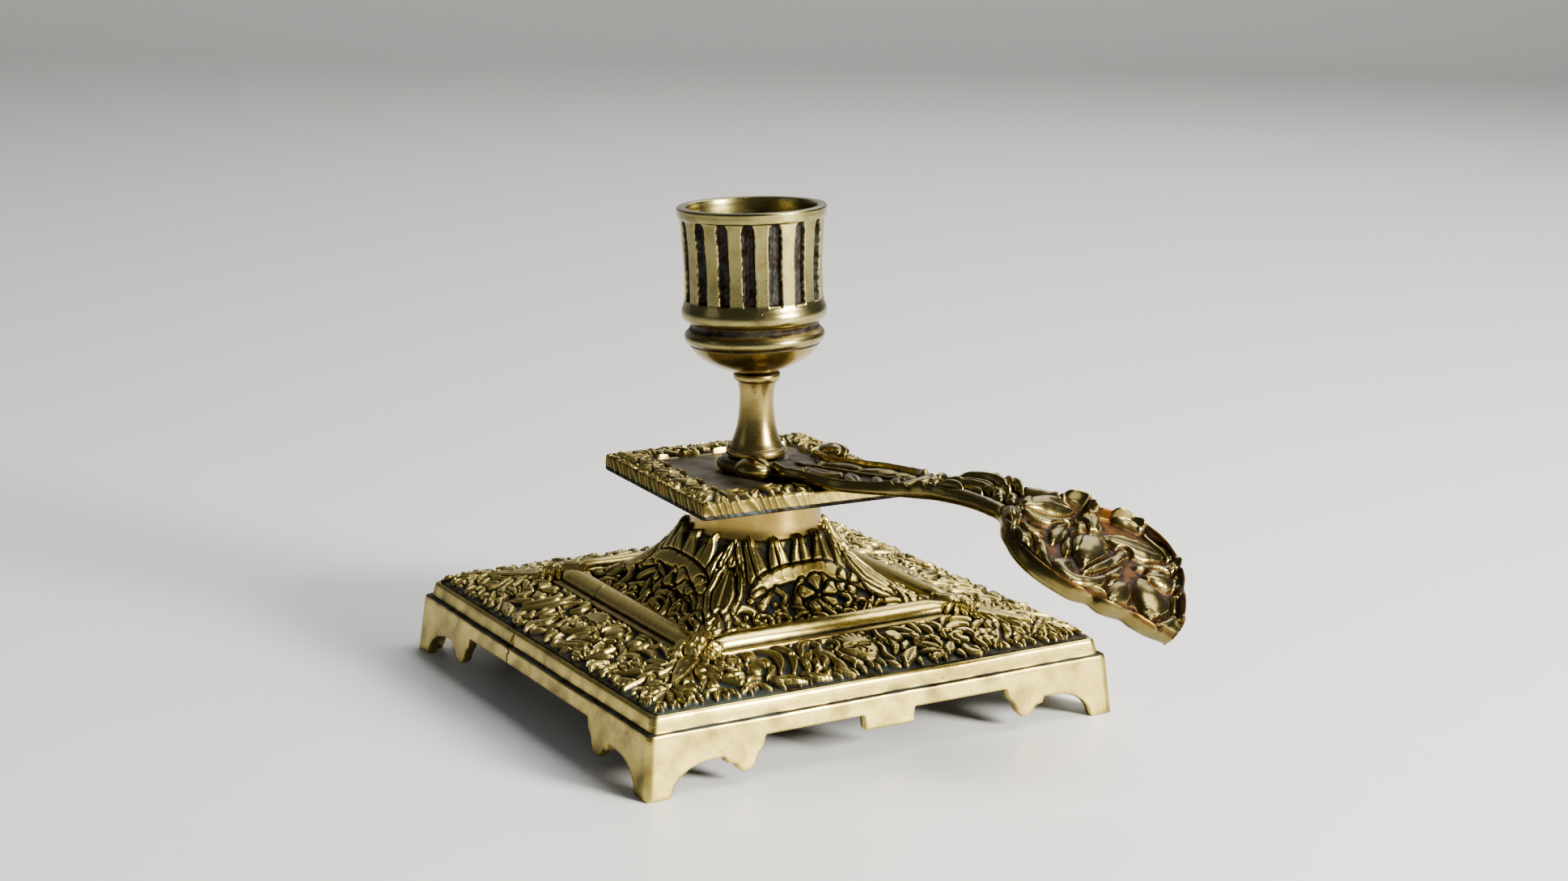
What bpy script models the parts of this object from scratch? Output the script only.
"""A cast-brass chamberstick: a candle socket on a turned stem, a square drip tray, a spoon-ended
side handle and a square footed base, all clamped together by one long tie screw.

Lengths below are in millimetres and MM turns them into Blender's metres. The vertical centre line of
the candle is the axis that every piece is stacked on. It stands at (0, AXIS_Y), so that the origin is
on the table at the middle of the whole outline, handle included.
"""

import math

import bmesh
import bpy
from mathutils import Matrix, Vector

MM = 0.001
GAP = 0.3

# Driving dimensions
AXIS_Y = 15.7
BASE_HALF = 45.0
SKIRT_TOP_HALF = 44.0
SKIRT_TOP_Z = 10.3
SKIRT_WALL = 1.8
RIDGE_HALF = 25.5
COLLAR_R = 11.4
COLLAR_TOP_Z = 36.4
COLLAR_FLOOR_Z = 33.0
TRAY_HALF = 20.0
TRAY_CENTRE_HALF = 14.0
TRAY_TOP_Z = 38.3
TRAY_BORDER_Z = 39.1
TRAY_LIP = 0.9
TRAY_YAW = -2.6
EYE_R = 6.8
EYE_TOP_Z = 40.8
HANDLE_ANGLE = -67.5
HANDLE_CLEARANCE_Z = 39.4
STEM_TOP_Z = 55.6
CUP_FLOOR_Z = 60.6
CUP_TOP_Z = 84.4
SOCKET_TOP_R = 11.0
SOCKET_FLOOR_R = 10.5
FLUTES = 16
FLUTE_WIDTH = 2.1
FLUTE_DEPTH = 0.6
FLUTE_TURN = 12.0
ROD_R = 1.6
ROD_HOLE_R = ROD_R + GAP
ROD_END_Z = 27.8
HEAD_R = 3.4
HEAD_HEIGHT = 1.8
SLOT_WIDTH = 0.8
WASHER_R = 6.0
WASHER_HEIGHT = 1.2
NUT_FLATS = 7.0
NUT_HEIGHT = 2.5

# Roundness of the meshes
TURNED_STEPS = 48
SMALL_STEPS = 24
CORNER_STEPS = 7
SIDE_STEPS = 5
SMOOTH_ANGLE = math.radians(35)


def clear_scene():
    for obj in list(bpy.data.objects):
        bpy.data.objects.remove(obj, do_unlink=True)


def brass(name, colour, roughness):
    material = bpy.data.materials.new(name)
    material.use_nodes = True
    shader = material.node_tree.nodes["Principled BSDF"]
    shader.inputs["Base Color"].default_value = (*colour, 1.0)
    shader.inputs["Metallic"].default_value = 1.0
    shader.inputs["Roughness"].default_value = roughness
    return material


def empty(name, parent=None, location=(0, 0, 0), turn=0.0):
    obj = bpy.data.objects.new(name, None)
    bpy.context.scene.collection.objects.link(obj)
    obj.parent = parent
    obj.location = [value * MM for value in location]
    obj.rotation_euler = (0, 0, math.radians(turn))
    return obj


def add_mesh(name, bm, parent, material=None):
    """Closes off a bmesh drawn in millimetres and puts it in the scene in metres, shaded smooth."""
    bmesh.ops.remove_doubles(bm, verts=bm.verts, dist=1e-4)
    bmesh.ops.recalc_face_normals(bm, faces=bm.faces)
    bmesh.ops.scale(bm, verts=bm.verts, vec=(MM, MM, MM))
    mesh = bpy.data.meshes.new(name)
    bm.to_mesh(mesh)
    bm.free()
    mesh.shade_smooth()
    mesh.set_sharp_from_angle(angle=SMOOTH_ANGLE)
    obj = bpy.data.objects.new(name, mesh)
    bpy.context.scene.collection.objects.link(obj)
    obj.parent = parent
    if material:
        mesh.materials.append(material)
    return obj


def make_cutter(name, bm, parent):
    obj = add_mesh(name, bm, parent)
    obj.hide_render = True
    obj.display_type = "WIRE"
    return obj


def combine(obj, other, operation):
    modifier = obj.modifiers.new(other.name, "BOOLEAN")
    modifier.operation = operation
    modifier.solver = "EXACT"
    modifier.object = other


def skin_rings(bm, rings, closed):
    """Joins rings of equal size with quads. The last ring meets the first one if closed is set."""
    loops = [[bm.verts.new(point) for point in ring] for ring in rings]
    pairs = list(zip(loops, loops[1:]))
    if closed:
        pairs.append((loops[-1], loops[0]))
    for low, high in pairs:
        for i in range(len(low)):
            j = (i + 1) % len(low)
            bm.faces.new((low[i], low[j], high[j], high[i]))
    if not closed:
        bm.faces.new(loops[0])
        bm.faces.new(loops[-1])


def turned(profile, steps):
    """A bmesh turned about the axis from a closed profile of (radius, height) points."""
    bm = bmesh.new()
    verts = [bm.verts.new((radius, 0, height)) for radius, height in profile]
    edges = [bm.edges.new((a, b)) for a, b in zip(verts, verts[1:] + verts[:1])]
    bmesh.ops.spin(
        bm,
        geom=verts + edges,
        axis=(0, 0, 1),
        cent=(0, 0, 0),
        angle=math.tau,
        steps=steps,
        use_merge=True,
    )
    return bm


def rounded_square(half, corner, height):
    """Points of a level square with rounded corners. A corner radius equal to half gives a circle."""
    corner = min(corner, half)
    points = []
    for quarter in range(4):
        turn = Matrix.Rotation(quarter * math.pi / 2, 3, "Z")
        middle = Vector((half - corner, half - corner, height))
        for step in range(CORNER_STEPS):
            angle = step / (CORNER_STEPS - 1) * math.pi / 2
            arm = Vector((math.cos(angle), math.sin(angle), 0)) * corner
            points.append(turn @ (middle + arm))
        start = Vector((half - corner, half, height))
        end = Vector((corner - half, half, height))
        for step in range(1, SIDE_STEPS):
            points.append(turn @ start.lerp(end, step / SIDE_STEPS))
    return points


def prism(bm, outline, depth):
    """Adds a closed prism: the outline's points, and the same points moved by the depth vector."""
    near = [bm.verts.new(point) for point in outline]
    far = [bm.verts.new(Vector(point) + Vector(depth)) for point in outline]
    bm.faces.new(near)
    bm.faces.new(far)
    for i in range(len(near)):
        j = (i + 1) % len(near)
        bm.faces.new((near[i], near[j], far[j], far[i]))


def skirt_opening(has_tab):
    """One side's opening below the skirt as (along, height) points, between its two bracket feet."""
    foot_in, arch_top, arch_end, lobe_out, lobe_in, edge_z = 40.5, 5.0, 31.0, 28.7, 23.7, 7.4
    lobe_z, tab_half, tab_z, below = 2.2, 5.0, 4.9, -1.0
    half = [(foot_in + 0.3, below), (foot_in, 0.3)]
    for step in range(1, 6):
        angle = step / 5 * math.pi / 2
        along = foot_in + (arch_end + 2.2 - foot_in) * (1 - math.cos(angle))
        half.append((along, 0.3 + (arch_top - 0.3) * math.sin(angle)))
    half += [(arch_end, arch_top), (arch_end - 0.3, 4.0), (lobe_out + 0.7, 3.7)]
    half += [(lobe_out, lobe_z + 0.6), (lobe_out - 0.8, lobe_z), (lobe_in + 2.6, lobe_z)]
    half += [(lobe_in + 1.7, lobe_z + 0.8), (lobe_in + 1.2, 4.6), (lobe_in + 0.3, 5.6)]
    half += [(lobe_in, edge_z)]
    if has_tab:
        half += [(tab_half, edge_z), (tab_half, tab_z)]
    return half + [(-along, height) for along, height in reversed(half)]


def make_base(axis, material):
    corner = 0.9
    outer = [
        (BASE_HALF, corner, 0.0),
        (BASE_HALF - 0.5, corner, 4.0),
        (SKIRT_TOP_HALF, corner, SKIRT_TOP_Z),
        (SKIRT_TOP_HALF - 0.7, corner, SKIRT_TOP_Z + 0.3),
        (SKIRT_TOP_HALF - 0.9, corner, SKIRT_TOP_Z + 1.4),
        (42.2, corner, 12.9),
        (41.8, corner, 13.4),
        (RIDGE_HALF + 2.0, corner, 15.6),
        (RIDGE_HALF + 1.3, corner, 16.6),
        (RIDGE_HALF + 0.3, corner, 17.1),
        (RIDGE_HALF - 0.8, corner, 16.9),
        (RIDGE_HALF - 1.5, 1.5, 16.4),
        (20.6, 3.1, 17.3),
        (17.6, 5.3, 19.3),
        (15.3, 7.6, 21.9),
        (13.6, 10.2, 24.9),
        (12.4, 11.6, 27.9),
        (COLLAR_R + 0.2, COLLAR_R + 0.2, 30.3),
        (COLLAR_R, COLLAR_R, 31.2),
        (COLLAR_R, COLLAR_R, COLLAR_TOP_Z),
    ]
    inner = [
        (ROD_HOLE_R, ROD_HOLE_R, COLLAR_TOP_Z),
        (ROD_HOLE_R, ROD_HOLE_R, COLLAR_FLOOR_Z),
        (9.0, 9.0, COLLAR_FLOOR_Z),
        (9.2, 9.2, 29.2),
        (11.6, 8.2, 23.3),
        (14.2, 4.6, 18.7),
        (18.4, 2.0, 15.5),
        (23.0, 1.2, 14.1),
        (39.6, 0.8, 11.6),
        (SKIRT_TOP_HALF - SKIRT_WALL, 0.8, SKIRT_TOP_Z - 0.6),
        (BASE_HALF - SKIRT_WALL, 0.8, 0.0),
    ]
    bm = bmesh.new()
    skin_rings(bm, [rounded_square(*ring) for ring in outer + inner], closed=True)
    base = add_mesh("base_casting", bm, axis, material)
    openings = bmesh.new()
    reach = BASE_HALF + 2.0
    through = 6.0
    for side, has_tab in enumerate((True, True, True, False)):
        turn = Matrix.Rotation(side * math.pi / 2, 3, "Z")
        outline = [turn @ Vector((along, -reach, z)) for along, z in skirt_opening(has_tab)]
        prism(openings, outline, turn @ Vector((0, through, 0)))
    combine(base, make_cutter("skirt_openings", openings, axis), "DIFFERENCE")
    return base


def make_tray(pivot, material):
    edge = TRAY_HALF
    bottom_z = COLLAR_TOP_Z + GAP
    rings = [
        (ROD_HOLE_R, ROD_HOLE_R, bottom_z),
        (edge - 3.6, 1.4, bottom_z),
        (edge - 2.8, 1.4, bottom_z - TRAY_LIP),
        (edge - 0.6, 0.8, bottom_z - TRAY_LIP),
        (edge, 1.0, bottom_z - TRAY_LIP + 0.5),
        (edge, 1.0, TRAY_BORDER_Z - 0.5),
        (edge - 0.6, 0.8, TRAY_BORDER_Z),
        (TRAY_CENTRE_HALF + 0.6, 2.4, TRAY_BORDER_Z),
        (TRAY_CENTRE_HALF, 2.0, TRAY_TOP_Z),
        (ROD_HOLE_R, ROD_HOLE_R, TRAY_TOP_Z),
    ]
    bm = bmesh.new()
    skin_rings(bm, [rounded_square(*ring) for ring in rings], closed=True)
    return add_mesh("drip_tray", bm, pivot, material)


# The handle's blade: distance out from the axis, height of its top, thickness, and how far it
# reaches to its near (clockwise) side and to its far side.
HANDLE_STATIONS = [
    (4.6, 40.8, 1.4, 6.2, 6.2),
    (8.5, 40.8, 1.4, 6.6, 6.8),
    (13.5, 40.8, 1.4, 6.3, 6.6),
    (18.0, 40.9, 1.5, 7.3, 7.4),
    (22.5, 41.0, 1.6, 8.0, 8.0),
    (27.0, 41.2, 1.7, 7.2, 7.4),
    (31.0, 41.5, 1.9, 5.9, 6.3),
    (34.0, 41.9, 2.5, 4.6, 5.0),
    (36.5, 42.2, 3.0, 3.8, 4.2),
    (38.5, 42.3, 2.9, 3.4, 4.2),
    (41.5, 42.3, 2.7, 3.6, 4.8),
    (46.0, 42.3, 2.6, 4.4, 5.8),
    (51.0, 42.2, 2.6, 6.0, 7.2),
    (54.5, 41.9, 2.6, 7.5, 8.6),
    (56.5, 41.5, 2.7, 9.6, 10.2),
    (58.3, 40.8, 2.7, 12.0, 12.0),
    (60.5, 39.8, 2.6, 13.7, 14.6),
    (63.5, 38.2, 2.5, 15.6, 17.0),
    (67.0, 36.4, 2.5, 16.3, 18.4),
    (70.5, 34.4, 2.5, 15.6, 18.5),
    (73.5, 32.5, 2.5, 13.4, 17.5),
    (76.5, 30.2, 2.5, 10.2, 15.1),
    (79.0, 27.9, 2.5, 6.8, 11.3),
    (81.2, 25.6, 2.3, 3.2, 7.0),
    (82.4, 24.2, 2.1, 0.8, 3.0),
]
BLADE_ACROSS = (-1.0, -0.9, -0.45, 0.0, 0.45, 0.9, 1.0)
BLADE_EDGE = (0.55, 0.0, 0.0, 0.0, 0.0, 0.0, 0.55)


def blade_ring(station, direction):
    """One cross-section of the blade, square to its path, with its outer edges thinned."""
    out, top, thickness, near, far = station
    down = Vector((direction.z, 0, -direction.x))
    crown = Vector((out, 0, top))
    upper = []
    lower = []
    for across, thin in zip(BLADE_ACROSS, BLADE_EDGE):
        side = Vector((0, across * (near if across < 0 else far), 0))
        upper.append(crown + side + down * (thin * thickness / 2))
        lower.append(crown + side + down * (thickness - thin * thickness / 2))
    return upper + lower[::-1]


def make_blade():
    path = [Vector((out, 0, top)) for out, top, _, _, _ in HANDLE_STATIONS]
    rings = []
    for i, station in enumerate(HANDLE_STATIONS):
        before = path[max(i - 1, 0)]
        after = path[min(i + 1, len(path) - 1)]
        rings.append(blade_ring(station, (after - before).normalized()))
    bm = bmesh.new()
    skin_rings(bm, rings, closed=False)
    return bm


def turned_at(profile, steps, centre):
    bm = turned(profile, steps)
    bmesh.ops.translate(bm, verts=bm.verts, vec=centre)
    return bm


def make_handle(pivot, material):
    handle = add_mesh("handle", make_blade(), pivot, material)
    eye_bottom = TRAY_TOP_Z + GAP
    eye_profile = [
        (0.0, eye_bottom),
        (EYE_R - 0.5, eye_bottom),
        (EYE_R, eye_bottom + 0.6),
        (EYE_R, EYE_TOP_Z - 0.6),
        (EYE_R - 0.5, EYE_TOP_Z),
        (0.0, EYE_TOP_Z),
    ]
    eye = make_cutter("handle_eye_disc", turned(eye_profile, TURNED_STEPS), pivot)
    combine(handle, eye, "UNION")
    volute_profile = [
        (0.0, HANDLE_CLEARANCE_Z),
        (2.4, HANDLE_CLEARANCE_Z),
        (3.1, HANDLE_CLEARANCE_Z + 1.1),
        (2.5, HANDLE_CLEARANCE_Z + 2.1),
        (1.0, HANDLE_CLEARANCE_Z + 2.7),
        (0.0, HANDLE_CLEARANCE_Z + 2.8),
    ]
    for name, out, side in (("near_volute", 7.2, -9.4), ("far_volute", 8.6, 9.6)):
        centre = (out, side, 0)
        volute = make_cutter(name, turned_at(volute_profile, SMALL_STEPS, centre), pivot)
        combine(handle, volute, "UNION")
    bore_profile = [(0.0, eye_bottom - 2), (ROD_HOLE_R, eye_bottom - 2)]
    bore_profile += [(ROD_HOLE_R, EYE_TOP_Z + 2), (0.0, EYE_TOP_Z + 2)]
    bore = make_cutter("handle_eye_bore", turned(bore_profile, SMALL_STEPS), pivot)
    combine(handle, bore, "DIFFERENCE")
    return handle


def make_stem(axis, material):
    foot_z = EYE_TOP_Z + GAP
    profile = [
        (ROD_HOLE_R, foot_z),
        (5.0, foot_z),
        (5.25, foot_z + 0.3),
        (5.2, foot_z + 1.1),
        (4.9, foot_z + 1.3),
        (4.3, 43.3),
        (3.6, 45.0),
        (3.15, 46.6),
        (2.9, 49.2),
        (3.0, 52.2),
        (3.4, 53.9),
        (3.85, 54.2),
        (4.1, 54.8),
        (4.05, STEM_TOP_Z - 0.1),
        (3.9, STEM_TOP_Z),
        (ROD_HOLE_R, STEM_TOP_Z),
    ]
    return add_mesh("stem", turned(profile, SMALL_STEPS + 8), axis, material)


def make_cup(axis, material):
    under_z = STEM_TOP_Z + GAP
    profile = [
        (ROD_HOLE_R, under_z),
        (4.6, under_z),
        (7.4, 57.0),
        (9.15, 58.2),
        (10.3, 59.3),
        (11.4, 60.6),
        (12.0, 61.8),
        (11.8, 62.9),
        (11.25, 63.7),
        (11.4, 64.4),
        (12.0, 65.0),
        (12.45, 66.2),
        (12.35, 67.3),
        (11.85, 69.3),
        (11.8, 73.0),
        (11.9, 77.3),
        (12.2, 81.4),
        (12.6, 82.5),
        (12.85, CUP_TOP_Z - 0.3),
        (12.6, CUP_TOP_Z),
        (11.8, CUP_TOP_Z),
        (SOCKET_TOP_R, CUP_TOP_Z - 1.2),
        (SOCKET_FLOOR_R, CUP_FLOOR_Z),
        (ROD_HOLE_R, CUP_FLOOR_Z),
    ]
    cup = add_mesh("candle_cup", turned(profile, TURNED_STEPS), axis, material)
    flute_bottom, flute_top, skin_r = 68.8, 82.0, 11.9
    half = FLUTE_WIDTH / 2
    outline = [(-half, flute_bottom), (half, flute_bottom)]
    for step in range(5):
        angle = step / 4 * math.pi
        outline.append((half * math.cos(angle), flute_top - half + half * math.sin(angle)))
    flutes = bmesh.new()
    inner_r = skin_r - FLUTE_DEPTH
    for i in range(FLUTES):
        turn = Matrix.Rotation(math.radians(FLUTE_TURN) + math.tau * i / FLUTES, 3, "Z")
        points = [turn @ Vector((inner_r, along, z)) for along, z in outline]
        prism(flutes, points, turn @ Vector((3.0, 0, 0)))
    combine(cup, make_cutter("cup_flutes", flutes, axis), "DIFFERENCE")
    return cup


def make_tie_screw(axis, material):
    seat_z = CUP_FLOOR_Z + GAP
    head_z = seat_z + HEAD_HEIGHT
    profile = [
        (0.0, ROD_END_Z),
        (ROD_R - 0.4, ROD_END_Z),
        (ROD_R, ROD_END_Z + 0.5),
        (ROD_R, seat_z),
        (HEAD_R, seat_z),
        (HEAD_R, head_z - 0.4),
        (HEAD_R - 0.4, head_z),
        (0.0, head_z),
    ]
    screw = add_mesh("tie_screw", turned(profile, SMALL_STEPS), axis, material)
    slot = bmesh.new()
    bmesh.ops.create_cube(slot, size=1.0)
    bmesh.ops.scale(slot, verts=slot.verts, vec=(4 * HEAD_R, SLOT_WIDTH, 1.6))
    bmesh.ops.translate(slot, verts=slot.verts, vec=(0, 0, head_z))
    combine(screw, make_cutter("tie_screw_slot", slot, axis), "DIFFERENCE")
    return screw


def make_washer(axis, material):
    top_z = COLLAR_FLOOR_Z - GAP
    bottom_z = top_z - WASHER_HEIGHT
    profile = [
        (ROD_HOLE_R, bottom_z),
        (WASHER_R - 0.3, bottom_z),
        (WASHER_R, bottom_z + 0.3),
        (WASHER_R, top_z),
        (ROD_HOLE_R, top_z),
    ]
    return add_mesh("base_washer", turned(profile, SMALL_STEPS), axis, material)


def make_nut(axis, material):
    top_z = COLLAR_FLOOR_Z - 2 * GAP - WASHER_HEIGHT
    bottom_z = top_z - NUT_HEIGHT
    half = NUT_FLATS / 2
    rings = [
        (ROD_HOLE_R, ROD_HOLE_R, bottom_z),
        (half - 0.3, 0.5, bottom_z),
        (half, 0.3, bottom_z + 0.4),
        (half, 0.3, top_z),
        (ROD_HOLE_R, ROD_HOLE_R, top_z),
    ]
    bm = bmesh.new()
    skin_rings(bm, [rounded_square(*ring) for ring in rings], closed=True)
    return add_mesh("base_nut", bm, axis, material)


def main():
    clear_scene()
    cast = brass("cast_brass", (0.50, 0.38, 0.16), 0.34)
    bright = brass("turned_brass", (0.66, 0.49, 0.20), 0.24)
    handle_brass = brass("handle_brass", (0.52, 0.36, 0.14), 0.30)
    hidden = brass("fastener_brass", (0.42, 0.33, 0.16), 0.45)
    axis = empty("candle_axis", location=(0, AXIS_Y, 0))
    make_base(axis, cast)
    tray_pivot = empty("tray_pivot", axis, turn=TRAY_YAW)
    make_tray(tray_pivot, cast)
    handle_pivot = empty("handle_pivot", axis, turn=HANDLE_ANGLE)
    make_handle(handle_pivot, handle_brass)
    make_stem(axis, bright)
    make_cup(axis, bright)
    make_tie_screw(axis, hidden)
    make_washer(axis, hidden)
    make_nut(axis, hidden)


main()
